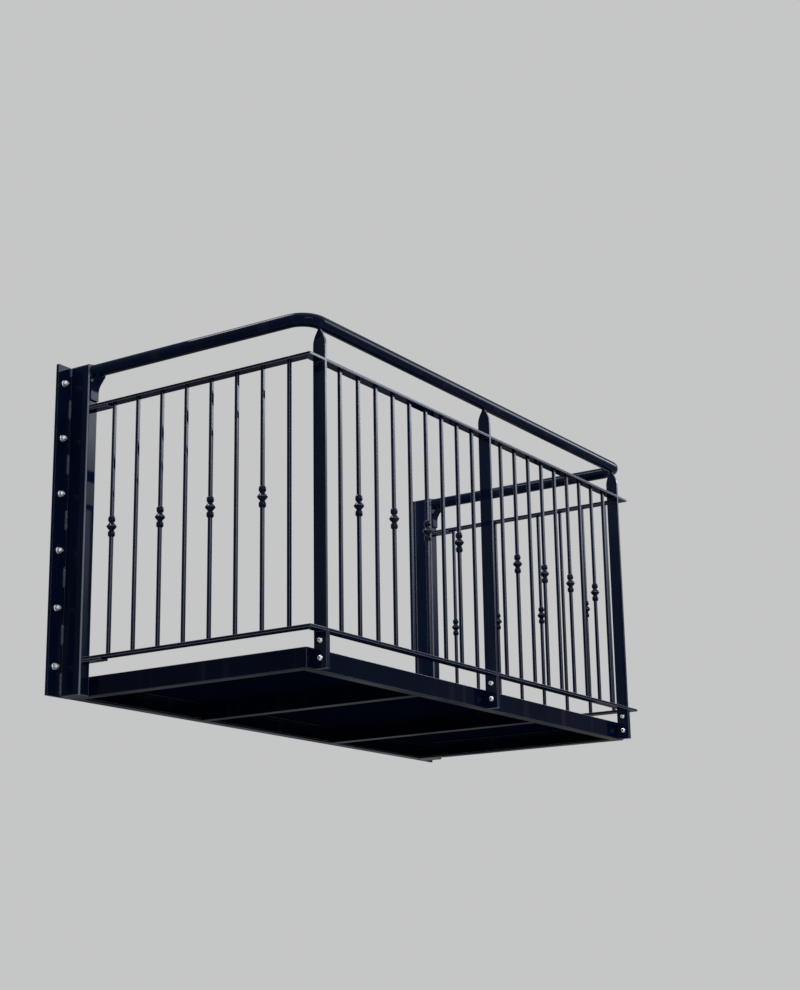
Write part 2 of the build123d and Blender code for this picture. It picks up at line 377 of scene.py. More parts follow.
def object_place(tree):
    """Coordinates in object space, in metres."""
    return add(tree, "ShaderNodeTexCoord").outputs["Object"]


def facing_up(tree):
    """How far the surface faces up, from -1 to 1."""
    geometry = add(tree, "ShaderNodeNewGeometry")
    return add(tree, "ShaderNodeSeparateXYZ", {"Vector": geometry.outputs["Normal"]}).outputs["Z"]


def painted_highlight_mask(tree, which):
    """Where the pale painted highlight goes: 1 on the rounded arrises and 0 on faces that lie along an axis;
    all of them, or only the upright ones, or all but those that face down, which keep the plain paint as
    they lie in shade."""
    geometry = add(tree, "ShaderNodeNewGeometry")
    size = add(tree, "ShaderNodeVectorMath", {0: geometry.outputs["True Normal"]}, operation="ABSOLUTE")
    parts = add(tree, "ShaderNodeSeparateXYZ", {"Vector": size.outputs[0]}).outputs
    widest = math_node(tree, "MAXIMUM", math_node(tree, "MAXIMUM", parts["X"], parts["Y"]), parts["Z"])
    mask = remap(tree, widest, 0.93, 0.99, 1, 0)
    if which == "upright":
        mask = times(tree, mask, remap(tree, parts["Z"], 0.02, 0.06, 1, 0))
    if which == "upper":
        mask = times(tree, mask, remap(tree, facing_up(tree), -0.3, -0.1, 0, 1))
    return mask


COAT_IOR = 1.2
COAT_ROUGHNESS = 0.035


def gloss_black(name, finish, peel=0.08, wave=0.2, dust=0.35, roughness=0.22, coat=1.0, sheltered=1.0,
                painted_shade_tone=1.0, edges="all"):
    """Brushed gloss black: navy, darkened where asked as painted shade, orange peel, slow waves, a little
    dust and rain marks.
    Its gloss changes, by the sheltered factor, where it faces down and stays out of the weather.
    A pale painted highlight lies on its edges: some of them, none, or a share over the whole surface."""
    material, tree, shader = new_material(name)
    place = object_place(tree)
    upward = facing_up(tree)

    settled = remap(tree, upward, 0.55, 0.95, 0, 1)
    dust_and_socket_shade = times(tree, settled, remap(tree, noise(tree, place, 9, 6), 0.35, 0.75, 0.25, 1))
    rain_marks = remap(tree, noise(tree, place, 16, 4, (1, 1, 0.08)), 0.56, 0.78, 0, 0.10)
    soil = math_node(tree, "ADD", times(tree, dust_and_socket_shade, dust), rain_marks)

    # Random cloudy tone; a painted shade tone below 1 darkens the whole paint
    cloud = remap(tree, noise(tree, place, 3.5, 4), 0.3, 0.7, 0.82 * painted_shade_tone, 1.2 * painted_shade_tone)
    colour = blend(tree, cloud, opaque((0, 0, 0)), opaque(finish.paint), clamp=False)
    # Painted highlight: the pale edge tone on the arrises stands in for the light that they catch
    if edges:
        share = edges if isinstance(edges, float) else painted_highlight_mask(tree, edges)
        colour = blend(tree, share, colour, opaque(finish.edge))

    shine = finish.gloss * coat
    clean = remap(tree, soil, 0, 0.5, shine, shine * 0.25)
    patches = remap(tree, noise(tree, place, 1.6, 2), 0.35, 0.65, 0.45 * sheltered, 1.5 * sheltered)
    shelter = remap(tree, upward, -0.9, -0.5, patches, 1)
    orange_peel = bump(tree, noise(tree, place, 210, 2), peel, 0.00006)
    relief = bump(tree, noise(tree, place, 14, 2, (1, 1, 0.35)), wave, 0.00045, orange_peel)
    fill(tree, shader, {
        "Base Color": blend(tree, soil, colour, opaque(finish.dust)),
        "Roughness": remap(tree, soil, 0, 0.5, roughness, 0.75),
        "Coat Weight": times(tree, clean, shelter), "Coat IOR": COAT_IOR, "Coat Roughness": COAT_ROUGHNESS,
        "Specular IOR Level": 0.0, "Normal": relief, "Coat Normal": relief})
    return material


def deck_black(name, finish):
    """Deck plate: scuffed semi-gloss on top, dull undercoat below, its paint darkened all over as painted
    shade.
    """
    material, tree, shader = new_material(name)
    place = object_place(tree)
    top = remap(tree, facing_up(tree), 0.2, 0.8, 0, 1)
    dirt_and_socket_shade = remap(tree, noise(tree, place, 5, 8), 0.3, 0.8, 0.06, 0.26)
    scuffs = remap(tree, noise(tree, place, 60, 5, (1, 0.2, 1)), 0.6, 0.75, 0, 0.2)
    soil = times(tree, math_node(tree, "MAXIMUM", dirt_and_socket_shade, scuffs), top)
    # Painted shade: the paint is darkened to 0.4 of its colour all over
    fill(tree, shader, {
        "Base Color": blend(tree, soil, opaque(finish.paint, 0.4), opaque(finish.dust)),
        "Roughness": remap(tree, top, 0, 1, 0.9, 0.42), "Specular IOR Level": 0.0,
        "Coat Weight": times(tree, top, finish.gloss * 0.12), "Coat Roughness": 0.2,
        "Normal": bump(tree, noise(tree, place, 90, 6), 0.6, 0.0004)})
    return material


def bright_zinc(name, finish):
    """Zinc plating: bright, with a patchy dullness and fine tooling marks."""
    material, tree, shader = new_material(name)
    place = object_place(tree)
    patch = noise(tree, place, 130, 4)
    dulled = remap(tree, patch, 0.35, 0.7, 0, 0.45)
    fill(tree, shader, {
        "Base Color": blend(tree, dulled, opaque(finish.zinc), opaque(finish.zinc, 0.55)),
        "Metallic": 1, "Roughness": remap(tree, patch, 0.3, 0.7, 0.38, 0.6),
        "Normal": bump(tree, noise(tree, place, 900, 2), 0.4, 0.00008)})
    return material


# The blacks by name, each with what sets it apart from the plain gloss: how much the coat shines, how the
# shelter under the deck changes it, how far the navy is darkened as painted shade, and which edges carry a
# pale painted highlight
BLACKS = {
    "handrail_black": {"peel": 0.03, "wave": 0.06, "dust": 0.12, "coat": 0.5, "edges": None},
    "column_black": {"coat": 0.45},
    "stay_black": {"coat": 0.4, "edges": None},
    # Beams and joists are painted darker than the rest, as painted shade under the deck
    "beam_black": {"coat": 0.35, "sheltered": 1.05, "painted_shade_tone": 0.65, "edges": "upper"},
    "joist_black": {"coat": 0.35, "sheltered": 0.9, "painted_shade_tone": 0.4, "edges": None},
    "bar_black": {"peel": 0.0, "wave": 0.02, "dust": 0.3, "edges": "upright"},
    "rail_black": {"coat": 0.6, "sheltered": 0.5},
    "flat_black": {"sheltered": 0.5},
    # The welds carry a share of the pale edge tone all over: a painted highlight
    "weld_black": {"peel": 0.3, "wave": 0.1, "dust": 0.0, "roughness": 0.3, "coat": 1.4, "edges": 0.28},
}


def material_of(kind):
    """The finish of that name, made when it is first asked for."""
    known = bpy.data.materials.get(kind)
    if known:
        return known
    finish = bpy.context.scene.balcony_finish
    if kind == "zinc_plate":
        return bright_zinc(kind, finish)
    if kind == "deck_black":
        return deck_black(kind, finish)
    return gloss_black(kind, finish, **BLACKS[kind])


# Steelwork that keeps the frame's shape

SAME_POINT = 1e-6
FLAT_ANGLE = math.radians(0.3)


def eased_copy(node, arris, finish):
    """A copy of a steel piece with rounded arrises, in place of the node."""
    bm = bmesh.new()
    bm.from_mesh(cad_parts[node].data)
    bmesh.ops.remove_doubles(bm, verts=bm.verts, dist=SAME_POINT)
    bmesh.ops.dissolve_limit(bm, angle_limit=FLAT_ANGLE, verts=bm.verts, edges=bm.edges)
    mesh = mesh_from(node + "_shape", bm)
    for name in ("custom_normal", "sharp_face", "sharp_edge"):
        if name in mesh.attributes:
            mesh.attributes.remove(mesh.attributes[name])
    mesh.materials.append(material_of(finish))
    host = link(node + "_host", mesh)
    ease(host, arris)
    even_normals(host)
    hand_over(plain(host, node + "_steel"), node)


class BALCONY_OT_steelwork(bpy.types.Operator):
    """Coat the frame's beams, plates, posts, joists and deck, and round their arrises"""

    bl_idname = "balcony.steelwork"
    bl_label = "Steelwork"

    def execute(self, context):
        sizes = context.scene.balcony_sizes
        plates = []
        flats = ["middle_lug", "middle_post"]
        beams = ["front_beam", "rear_beam"]
        for side, _ in SIDES:
            plates += [side + part for part in ("_column_caps", "_wall_plate")]
            flats += [side + part for part in ("_lug", "_post", "_rail_returns", "_rail_tabs")]
            beams.append(side + "_beam")
            eased_copy(side + "_joist", sizes.beam_arris, "joist_black")
            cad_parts[side + "_column"].material_slots[0].material = material_of("column_black")
            eased_copy(side + "_stay", sizes.plate_arris, "stay_black")
        for node in plates:
            eased_copy(node, sizes.plate_arris, "column_black")
        for node in flats:
            eased_copy(node, sizes.plate_arris, "flat_black")
        for node in beams:
            eased_copy(node, sizes.beam_arris, "beam_black")
        eased_copy("deck_plate", sizes.plate_arris, "deck_black")
        return {"FINISHED"}


# Handrail

TUBE_SIDES = 56
BEND_STEPS = 14


def handrail_tree():
    """Tree: a tube along a path with round bends."""
    tree, given = new_tree("Handrail tube", {
        "Diameter": "Float", "Bend Radius": "Float", "Bend Steps": "Int", "Material": "Material"})
    path = add(tree, "GeometryNodeMeshToCurve", {"Mesh": given["Geometry"]})
    bent = add(tree, "GeometryNodeFilletCurve", {
        "Curve": path.outputs[0], "Radius": given["Bend Radius"], "Count": given["Bend Steps"]}, mode="POLY")
    radius = times(tree, given["Diameter"], 0.5)
    section = add(tree, "GeometryNodeCurvePrimitiveCircle", {"Resolution": TUBE_SIDES, "Radius": radius})
    tube = add(tree, "GeometryNodeCurveToMesh", {
        "Curve": bent.outputs[0], "Profile Curve": section.outputs[0], "Fill Caps": True})
    close_tree(tree, tube.outputs[0], given["Material"])
    return tree


class BALCONY_OT_handrail(bpy.types.Operator):
    """Bend the handrail tube round the balcony"""

    bl_idname = "balcony.handrail"
    bl_label = "Handrail"

    def execute(self, context):
        sizes = context.scene.balcony_sizes
        radius = sizes.handrail_diameter / 2
        low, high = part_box("handrail")
        level = centre_of("handrail").z
        side, front, wall_end = high.x - radius, low.y + radius, high.y
        path = bpy.data.meshes.new("handrail_path")
        path.from_pydata(
            [(-side, wall_end, level), (-side, front, level), (side, front, level), (side, wall_end, level)],
            [(0, 1), (1, 2), (2, 3)], [])
        host = link("handrail_host", path)
        grow(host, handrail_tree(), {
            "Diameter": sizes.handrail_diameter, "Bend Radius": sizes.handrail_bend,
            "Bend Steps": BEND_STEPS, "Material": material_of("handrail_black")})
        hand_over(plain(host, "handrail_tube"), "handrail")
        return {"FINISHED"}


# Baluster panels

BAR_CORNER_STEPS = 3
FOOT_WELD_SIDES = 6


def knuckle(sizes):
    """A collar: two barrel beads, hollow necks, and a ridge round the middle, all in shares of its sizes."""
    half, bead, ridge = sizes.knuckle_half_height, sizes.knuckle_bead_radius, sizes.knuckle_waist_radius
    lip = sizes.bar_width * 0.62
    neck = bead * 0.65
    bead_middle = half * 0.70
    bead_half = half * 0.26
    bead_steps = 8
    upper = [(lip, half)]
    for step in range(bead_steps + 1):
        angle = math.pi * step / bead_steps
        swell = math.sin(angle) ** 0.7
        upper.append((neck + (bead - neck) * swell, bead_middle + bead_half * math.cos(angle)))
    hollow = [(neck * 1.02, 0.37), (neck * 1.14, 0.30)]
    flank = [(ridge * 0.72, 0.21), (ridge * 0.88, 0.10), (ridge * 0.97, 0.045), (ridge, 0.015)]
    upper += [(radius, half * height) for radius, height in hollow + flank]
    profile = upper + [(radius, -height) for radius, height in reversed(upper)]
    return turned("collar", profile, COLLAR_POINTS)


def panel_tree():
    """Tree: a row of square bars between two rails, with collars on every second bar."""
    tree, given = new_tree("Baluster row", {
        "First Bar": "Vector", "Step": "Vector", "Count": "Int", "Bar Height": "Float",
        "Bar Width": "Float", "Bar Arris": "Float", "Collar": "Object", "Collar Phase": "Int",
        "Weld Radius": "Float",
        "Bar Material": "Material", "Rail Material": "Material"})
    square = add(tree, "GeometryNodeCurvePrimitiveQuadrilateral", {
        "Width": given["Bar Width"], "Height": given["Bar Width"]})
    section = add(tree, "GeometryNodeFilletCurve", {
        "Curve": square.outputs[0], "Radius": given["Bar Arris"], "Count": BAR_CORNER_STEPS}, mode="POLY")
    top = add(tree, "ShaderNodeCombineXYZ", {"Z": given["Bar Height"]})
    line = add(tree, "GeometryNodeCurvePrimitiveLine", {"Start": (0, 0, 0), "End": top.outputs[0]})
    bar = add(tree, "GeometryNodeCurveToMesh", {
        "Curve": line.outputs[0], "Profile Curve": section.outputs[0], "Fill Caps": True})

    bead = add(tree, "GeometryNodeCurvePrimitiveCircle", {
        "Resolution": FOOT_WELD_SIDES, "Radius": given["Weld Radius"]})
    foot = add(tree, "GeometryNodeCurveToMesh", {
        "Curve": section.outputs[0], "Profile Curve": bead.outputs[0]})
    head = add(tree, "GeometryNodeTransform", {"Geometry": foot.outputs[0], "Translation": top.outputs[0]})
    middle = add(tree, "ShaderNodeVectorMath", {0: top.outputs[0], "Scale": 0.5}, operation="SCALE")
    collar = add(tree, "GeometryNodeObjectInfo", {"Object": given["Collar"]})
    raised = add(tree, "GeometryNodeTransform", {
        "Geometry": collar.outputs["Geometry"], "Translation": middle.outputs[0]})

    dressed = add(tree, "GeometryNodeJoinGeometry")
    for part in (head, foot, bar):
        tree.links.new(part.outputs[0], dressed.inputs[0])
    points = add(tree, "GeometryNodeMeshLine", {
        "Count": given["Count"], "Start Location": given["First Bar"], "Offset": given["Step"]})
    bars = add(tree, "GeometryNodeInstanceOnPoints", {
        "Points": points.outputs[0], "Instance": dressed.outputs[0]})
    place = add(tree, "GeometryNodeInputIndex")
    odd = math_node(tree, "MODULO", math_node(tree, "ADD", place.outputs[0], given["Collar Phase"]), 2)
    collars = add(tree, "GeometryNodeInstanceOnPoints", {
        "Points": points.outputs[0], "Selection": odd, "Instance": raised.outputs[0]})

    whole = add(tree, "GeometryNodeJoinGeometry")
    for part in (collars.outputs[0], bars.outputs[0], given["Geometry"]):
        tree.links.new(part, whole.inputs[0])
    flat = add(tree, "GeometryNodeInputNamedAttribute", {"Name": "flat_rail"}, data_type="BOOLEAN")
    close_tree(tree, whole.outputs[0], given["Bar Material"],
               also=(flat.outputs[0], given["Rail Material"]))
    return tree


def rails(name, outline, low, high, thickness):
    """The lower and upper flat rails on one plan outline."""
    bm = bmesh.new()
    for floor in (low, high - thickness):
        bm.from_mesh(prism(name, outline, floor, floor + thickness))
    mesh = mesh_from(name, bm)
    marked = mesh.attributes.new("flat_rail", "BOOLEAN", "FACE")
    marked.data.foreach_set("value", [True] * len(mesh.polygons))
    return mesh


def panel(node, outline, first, step, count, phase, tree, collar):
    """One panel, in place of its node."""
    sizes = bpy.context.scene.balcony_sizes
    low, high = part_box(node)
    thickness = sizes.rail_thickness
    host = link(node + "_host", rails(node + "_rails", outline, low.z, high.z, thickness))
    ease(host, sizes.plate_arris)
    grow(host, tree, {
        "First Bar": (*first, low.z + thickness), "Step": (*step, 0), "Count": count,
        "Bar Height": high.z - low.z - 2 * thickness, "Bar Width": sizes.bar_width,
        "Bar Arris": sizes.bar_arris, "Collar": collar, "Collar Phase": phase,
        "Weld Radius": sizes.fine_weld_radius, "Bar Material": material_of("bar_black"),
        "Rail Material": material_of("rail_black")})
    even_normals(host)
    hand_over(plain(host, node + "_bars"), node)


class BALCONY_OT_panels(bpy.types.Operator):
    """Fill the sides and the two front bays with rails, square bars and collars"""

    bl_idname = "balcony.panels"
    bl_label = "Baluster panels"

    def execute(self, context):
        sizes = context.scene.balcony_sizes
        tree = panel_tree()
        collar = link("collar_pattern", knuckle(sizes))
        for side, sign in SIDES:
            node = side + "_front_panel"
            low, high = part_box(node)
            pitch = centre_of(side + "_post").x / (sizes.front_bar_count + 1)
            outline = [(low.x, low.y), (high.x, low.y), (high.x, high.y), (low.x, high.y)]
            panel(node, outline, (pitch, centre_of(node).y), (pitch, 0),
                  sizes.front_bar_count, 0, tree, collar)

            node = side + "_side_panel"
            low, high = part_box(node)
            inner, outer = (high.x, low.x) if sign < 0 else (low.x, high.x)
            mitre = low.y + high.x - low.x
            outline = [(outer, high.y), (outer, low.y), (inner, mitre), (inner, high.y)]
            panel(node, outline, (centre_of(node).x, -sizes.side_first_bar), (0, -sizes.side_bar_pitch),
                  sizes.side_bar_count, 1, tree, collar)
        bpy.data.objects.remove(collar)
        return {"FINISHED"}


# Fasteners

# M12 wall anchors, and M10 bolts with button heads through the posts and lugs. A washer is its diameter and
# thickness, a nut its width across flats, height and bore, a head its diameter, height and socket across
# flats, and a thread its diameter, start, end and pitch.
ANCHOR_WASHER = (0.024, 0.0025)
ANCHOR_NUT = (0.019, 0.0105, 0.0052)
ANCHOR_THREAD = (0.012, -0.010, 0.0195, 0.00175)
HEAD_WASHER = (0.0185, 0.0018)
BOLT_HEAD = (0.0175, 0.0055, 0.008)
HEAD_THREAD = (0.010, -0.0045, 0.0012, 0.0015)
NUT_WASHER = (0.020, 0.0018)
BOLT_NUT = (0.016, 0.008, 0.0042)
NUT_THREAD = (0.010, -0.0045, 0.0125, 0.0015)
# A dark plug in each button head's socket is painted shade in the recess: its width across flats and the
# heights of its faces
SOCKET_SHADE_ACROSS_FLATS = 0.0079
SOCKET_SHADE_RISE = (0.0030, 0.0055)
BOLTS_IN_POST = 2


def hex_reach(across_flats):
    """Reach of a hexagon from its middle, by angle."""
    wedge = math.radians(60)

    def reach(angle):
        return across_flats / 2 / math.cos((angle % wedge) - wedge / 2)
    return reach


def nut(across_flats, height, bore):
    """A hexagon nut with chamfered corners on both faces."""
    reach = hex_reach(across_flats)
    flat_circle = across_flats * 0.475
    fall = math.tan(math.radians(30))

    def drop(angle):
        return max(0, reach(angle) - flat_circle) * fall

    def top(angle):
        return height - drop(angle)

    profile = [(bore, 0), (flat_circle, 0), (reach, drop)]
    profile += [(reach, top), (flat_circle, height), (bore, height)]
    return turned("nut", profile, HEX_POINTS)


def washer(diameter, thickness):
    """A flat washer with softened rims; its hole is filled by the bolt."""
    rim = thickness * 0.25
    radius = diameter / 2
    profile = [(radius - rim, 0), (radius, rim), (radius, thickness - rim), (radius - rim, thickness)]
    return turned("washer", profile, WASHER_POINTS)


def threaded(diameter, start, end, pitch):
    """A threaded stud end with a chamfered tip."""
    crest = diameter / 2
    root = crest - pitch * 0.6
    profile = [(root, start)]
    height = start
    while height + pitch < end - pitch * 0.6:
        profile += [(root, height + pitch * 0.1), (crest, height + pitch * 0.45)]
        profile += [(crest, height + pitch * 0.6), (root, height + pitch * 0.95)]
        height += pitch
    profile += [(crest, height + pitch * 0.4), (crest, end - pitch * 0.7), (root, end)]
    return turned("thread", profile, THREAD_POINTS)


def button_head(diameter, height, socket):
    """A domed bolt head with a hexagon socket."""
    radius = diameter / 2
    rim = 0.1
    dome_steps = 6
    profile = [(radius * 0.96, 0), (radius, height * rim)]
    for step in range(1, dome_steps):
        angle = math.radians(90) * step / dome_steps
        profile.append((radius * math.cos(angle) ** 0.8, height * (rim + (1 - rim) * math.sin(angle))))
    reach = hex_reach(socket)
    profile += [(socket * 0.62, height), (reach, height * 0.97), (reach, height * 0.12)]
    profile.append((socket * 0.1, height * 0.05))
    return turned("button_head", profile, HEX_POINTS)


def fastener(name, washer_size, top, thread):
    """A pattern of a washer, the nut or head on it, and the thread through them."""
    top.transform(Matrix.Translation((0, 0, washer_size[1])))
    bm = bmesh.new()
    for mesh in (washer(*washer_size), top, threaded(*thread)):
        bm.from_mesh(mesh)
    return link(name, mesh_from(name, bm))


def fastener_tree():
    """Tree: a row of one fastener, each turned at random about its own axis."""
    tree, given = new_tree("Fastener row", {
        "Fastener": "Object", "First": "Vector", "Step": "Vector", "Count": "Int", "Axis": "Vector",
        "Seed": "Int", "Material": "Material"})
    points = add(tree, "GeometryNodeMeshLine", {
        "Count": given["Count"], "Start Location": given["First"], "Offset": given["Step"]})
    pattern = add(tree, "GeometryNodeObjectInfo", {"Object": given["Fastener"]})
    aim = add(tree, "FunctionNodeAlignRotationToVector", {"Vector": given["Axis"]}, axis="Z")
    placed = add(tree, "GeometryNodeInstanceOnPoints", {
        "Points": points.outputs[0], "Instance": pattern.outputs["Geometry"], "Rotation": aim.outputs[0]})
    chance = add(tree, "FunctionNodeRandomValue", {"Min": 0.0, "Max": math.tau, "Seed": given["Seed"]})
    spin = add(tree, "ShaderNodeCombineXYZ", {"Z": chance.outputs["Value"]})
    turned_round = add(tree, "GeometryNodeRotateInstances", {
        "Instances": placed.outputs[0], "Rotation": spin.outputs[0], "Local Space": True})
    close_tree(tree, turned_round.outputs[0], given["Material"], crease=32)
    return tree


class BALCONY_OT_fasteners(bpy.types.Operator):
    """Bolt the plates to the wall and the posts to their lugs"""

    bl_idname = "balcony.fasteners"
    bl_label = "Bolts and nuts"

    def execute(self, context):
        sizes = context.scene.balcony_sizes
        tree = fastener_tree()
        zinc, dirt_and_socket_shade = material_of("zinc_plate"), material_of("joist_black")
        anchor = fastener("anchor_pattern", ANCHOR_WASHER, nut(*ANCHOR_NUT), ANCHOR_THREAD)
        bolt = fastener("bolt_pattern", HEAD_WASHER, button_head(*BOLT_HEAD), HEAD_THREAD)
        fixing = fastener("fixing_pattern", NUT_WASHER, nut(*BOLT_NUT), NUT_THREAD)
        # The dark plug in each socket, in the joist black, is painted shade
        plug = [(hex_reach(SOCKET_SHADE_ACROSS_FLATS), rise) for rise in SOCKET_SHADE_RISE]
        dust_and_socket_shade = link("grime_pattern", turned("dust_and_socket_shade", plug, HEX_POINTS))

        # Zinc, and the dark plugs in the sockets that are painted shade, are finishes of the scene alone, so
        # these pieces name no slot
        def row(name, pattern, first, step, count, axis, seed, material):
            host = link(name + "_host", bpy.data.meshes.new(name))
            grow(host, tree, {
                "Fastener": pattern, "First": first, "Step": step, "Count": count, "Axis": axis,
                "Seed": seed, "Material": material})
            hand_over(plain(host, name), slot=None)

        wall_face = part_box("left_wall_plate")[0].y
        for side, sign in SIDES:
            row(side + "_wall_anchors", anchor, (sign * sizes.anchor_reach, wall_face, sizes.anchor_first),
                (0, 0, sizes.anchor_pitch), sizes.anchor_count, (0, -1, 0), 4 + sign, zinc)
        for place, seed in (("left", 11), ("middle", 12), ("right", 13)):
            head_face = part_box(place + "_post")[0].x
            nut_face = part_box(place + "_lug")[1].x
            for part, pattern, face, way, turn, material in (
                    ("_post_bolts", bolt, head_face, -1, seed, zinc),
                    ("_socket_grime", dust_and_socket_shade, head_face, -1, seed, dirt_and_socket_shade),
                    ("_post_nuts", fixing, nut_face, 1, seed + 10, zinc)):
                row(place + part, pattern, (face, -sizes.post_bolt_line, 0),
                    (0, 0, sizes.post_bolt_pitch), BOLTS_IN_POST, (way, 0, 0), turn, material)
        for pattern in (anchor, bolt, fixing, dust_and_socket_shade):
            bpy.data.objects.remove(pattern)
        return {"FINISHED"}


# Welds

# The lowest and highest stitches are measured from the ends of the wall plate, to both of their ends. The
# ripple's pitch and depth, and the scatter of a bead's size, are shares of its radius. A ring weld starts
# at an angle in radians.
FOOT_STITCH = (0.004, 0.085)
HEAD_STITCH = (0.036, 0.002)
RIPPLE_PITCH = 0.9
RIPPLE_DEPTH = 0.12
BEAD_SCATTER = (0.86, 1.08)
BEAD_SIDES = 10
RING_WELD_START = 0.4
RING_WELD_STEPS = 28
WALL_WELD_SCALE = 1.3
POST_WELD_FRONT_GAP = 0.002
POST_WELD_BACK_GAP = 0.001


def weld_tree():
    """Tree: rippled beads along the edges of a path mesh."""
    tree, given = new_tree("Weld bead", {
        "Bead Radius": "Float", "Ripple Pitch": "Float", "Ripple Depth": "Float", "Seed": "Int",
        "Material": "Material"})
    path = add(tree, "GeometryNodeMeshToCurve", {"Mesh": given["Geometry"]})
    stepped = add(tree, "GeometryNodeResampleCurve", {
        "Curve": path.outputs[0], "Length": times(tree, given["Ripple Pitch"], 0.5)}, mode="LENGTH")
    index = add(tree, "GeometryNodeInputIndex")
    ripple = times(tree, math_node(tree, "MODULO", index.outputs[0], 2), given["Ripple Depth"])
    chance = add(tree, "FunctionNodeRandomValue", {
        "Min": BEAD_SCATTER[0], "Max": BEAD_SCATTER[1], "Seed": given["Seed"]})
    swell = math_node(tree, "SUBTRACT", chance.outputs["Value"], ripple)
    along = add(tree, "GeometryNodeSplineParameter")
    hump = math_node(tree, "SINE", times(tree, along.outputs["Factor"], math.pi))
    size = times(tree, swell, remap(tree, hump, 0, 0.25, 0.45, 1))
    section = add(tree, "GeometryNodeCurvePrimitiveCircle", {
        "Resolution": BEAD_SIDES, "Radius": given["Bead Radius"]})
    bead = add(tree, "GeometryNodeCurveToMesh", {
        "Curve": stepped.outputs[0], "Profile Curve": section.outputs[0], "Scale": size,
        "Fill Caps": True})
    close_tree(tree, bead.outputs[0], given["Material"], crease=70)
    return tree


def path_mesh(name, runs):
    """A mesh of open polylines for the weld tree to follow."""
    points, edges = [], []
    for run in runs:
        start = len(points)
        points += run
        edges += [(start + i, start + i + 1) for i in range(len(run) - 1)]
    mesh = bpy.data.meshes.new(name)
    mesh.from_pydata(points, edges, [])
    return mesh


def ring_run(centre, radius):
    """Points of a ring weld round a joint that faces along the wall's depth."""
    run = []
    for i in range(RING_WELD_STEPS + 1):
        angle = math.tau * i / RING_WELD_STEPS + RING_WELD_START
        run.append(tuple(centre + radius * Vector((math.cos(angle), 0, math.sin(angle)))))
    return run


class BALCONY_OT_welds(bpy.types.Operator):
    """Run the stitch welds on the columns and the small welds on posts, rails and handrail"""

    bl_idname = "balcony.welds"
    bl_label = "Welds"

    def execute(self, context):
        sizes = context.scene.balcony_sizes
        tree = weld_tree()
        paint = material_of("weld_black")

        def weld(name, runs, radius, seed):
            host = link(name + "_host", path_mesh(name, runs))
            grow(host, tree, {
                "Bead Radius": radius, "Ripple Pitch": radius * RIPPLE_PITCH, "Ripple Depth": RIPPLE_DEPTH,
                "Seed": seed, "Material": paint})
            hand_over(plain(host, name))

        thickness = sizes.rail_thickness
        tube_radius = sizes.handrail_diameter / 2
        tube_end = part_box("handrail")[1]
        for seed, (side, sign) in enumerate(SIDES):
            low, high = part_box(side + "_column")
            outer = low.x if sign < 0 else high.x
            low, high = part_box(side + "_wall_plate")
            spans = [[low.z + gap for gap in FOOT_STITCH], [high.z - gap for gap in HEAD_STITCH]]
            for i in range(sizes.anchor_count - 1):
                middle = sizes.first_stitch + i * sizes.anchor_pitch
                spans.append([middle - sizes.stitch_length / 2, middle + sizes.stitch_length / 2])
            runs = [[(outer, low.y, level) for level in span] for span in spans]
            weld(side + "_column_welds", runs, sizes.weld_radius, 20 + seed)

            joint = Vector((sign * (tube_end.x - tube_radius), tube_end.y, centre_of("handrail").z))
            runs = [ring_run(joint, tube_radius)]
            low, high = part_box(side + "_side_panel")
            tab_low, tab_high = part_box(side + "_rail_tabs")
            for level in (low.z, high.z - thickness):
                runs.append([(x, tab_high.y, level) for x in (tab_low.x, tab_high.x)])
            weld(side + "_rail_welds", runs, sizes.fine_weld_radius * WALL_WELD_SCALE, 30 + seed)

        runs = []
        low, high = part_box("left_front_panel")
        for place in ("left", "middle", "right"):
            for post_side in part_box(place + "_post"):
                for level in (low.z, low.z + thickness, high.z - thickness, high.z):
                    runs.append([(post_side.x, low.y + POST_WELD_FRONT_GAP, level),
                                 (post_side.x, high.y - POST_WELD_BACK_GAP, level)])
        weld("post_rail_welds", runs, sizes.fine_weld_radius, 40)
        return {"FINISHED"}


# Studio

# The camera has the photograph's viewpoint. Its turn is in degrees, and its lens in millimetres.
CAMERA_PLACE = (-5.7950, -4.4394, -1.0406)
CAMERA_TURN = (105.3220, 0.8967, -56.7236)
CAMERA_LENS = 65.685
CAMERA_SENSOR = 36.0
CAMERA_CLIP = 200

BACKDROP_TINT = (0.985, 0.99, 1.0, 1)

# The floor reaches this far each way, and fades into the backdrop between two distances
FLOOR_TONE = (0.55, 0.55, 0.55, 1)
FLOOR_REACH = 60
FLOOR_THICKNESS = 0.1
FLOOR_FADE = (12, 19)

# The key lamp stands to the front right, between two angles above level in degrees. It is graded by height,
# from its lower edge at 0 to its upper edge at 1.
KEY_WAY = (0.82, -0.57, 0)
KEY_DISTANCE = 12.0
KEY_WIDTH = 8.0
KEY_RISE = (8.5, 38)
KEY_TINT = (0.80, 0.89, 1.0)
KEY_GRADE = (
    (0, 0.015), (0.03, 0.03), (0.06, 0.065), (0.105, 0.11), (0.15, 0.20), (0.25, 0.26),
    (0.31, 0.42), (0.37, 0.9), (0.42, 1.0), (0.5, 0.55), (0.7, 0.2), (1.0, 0.1))

# Watts for each square metre of a lamp that give a radiance of 1
WATTS_PER_AREA = 4


def area_lamp(name, place, target, width, height, radiance, tint=(1, 1, 1)):
    """A rectangular lamp that faces its target and gives the stated radiance."""
    data = bpy.data.lights.new(name, "AREA")
    data.shape = "RECTANGLE"
    data.size, data.size_y = width, height
    data.energy = radiance * width * height * WATTS_PER_AREA
    data.color = tint
    lamp = link(name, data)
    lamp.location = place
    lamp.rotation_euler = (Vector(target) - Vector(place)).to_track_quat("-Z", "Y").to_euler()
    lamp.visible_camera = False
    return lamp


